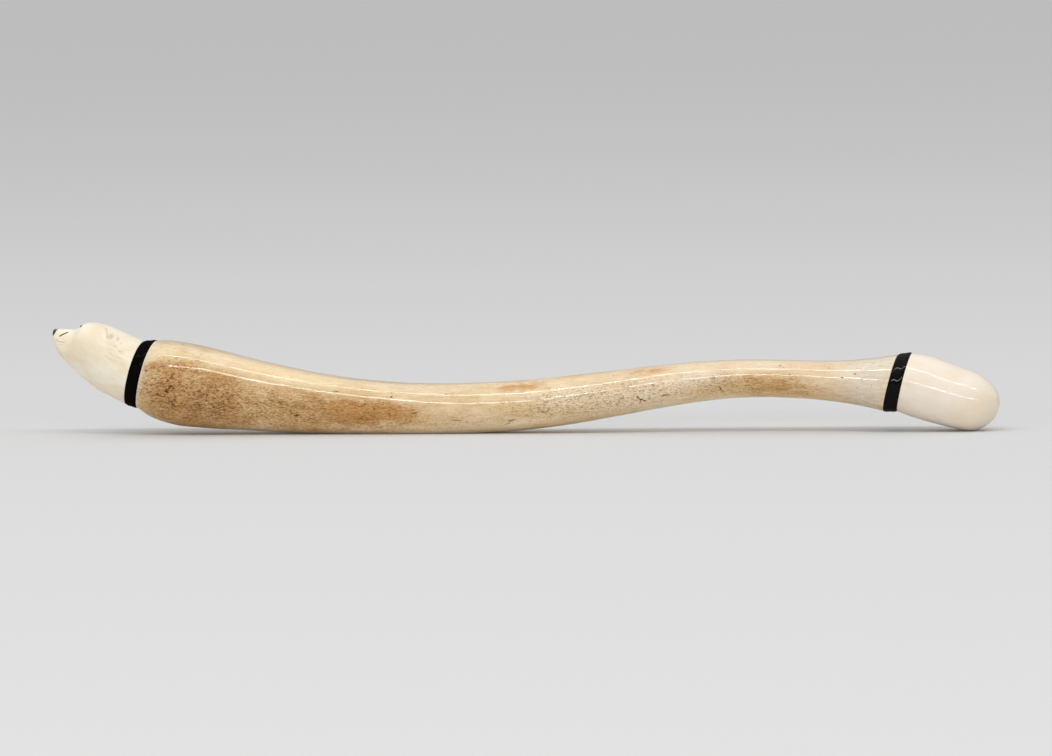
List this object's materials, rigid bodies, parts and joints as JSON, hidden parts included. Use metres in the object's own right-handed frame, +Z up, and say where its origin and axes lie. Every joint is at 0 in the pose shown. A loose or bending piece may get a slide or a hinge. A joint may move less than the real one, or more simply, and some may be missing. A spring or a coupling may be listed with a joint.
{
  "type": "carved walrus baculum",
  "caption": "S-curved walrus baculum, polished, with a carved ivory bear head at the thick end, a rounded ivory cap at the slender end and a narrow black band behind each.",
  "frame": {"origin": "centre of the bounding box's underside, on the surface the part rests on", "axes": "+X along the bone from the bear's head towards the end cap, +Z up, -Y the bear's left side"},
  "size_m": [0.56, 0.046, 0.0659],
  "materials": {
    "bone": "polished bone, cream to tan with brown stains, fine dark pits and a lengthwise grain",
    "ivory": "pale carved ivory, smooth and softly polished",
    "black_baleen": "black baleen or horn, polished with fine scratches",
    "black_inlay": "small polished black inlays"
  },
  "bodies": {
    "root": {"baculum": "bone", "head_band": "black_baleen", "cap_band": "black_baleen", "bear_head": "ivory", "nose": "black_inlay", "eye_left": "black_inlay", "eye_right": "black_inlay", "end_cap": "ivory"}
  },
  "joints": []
}
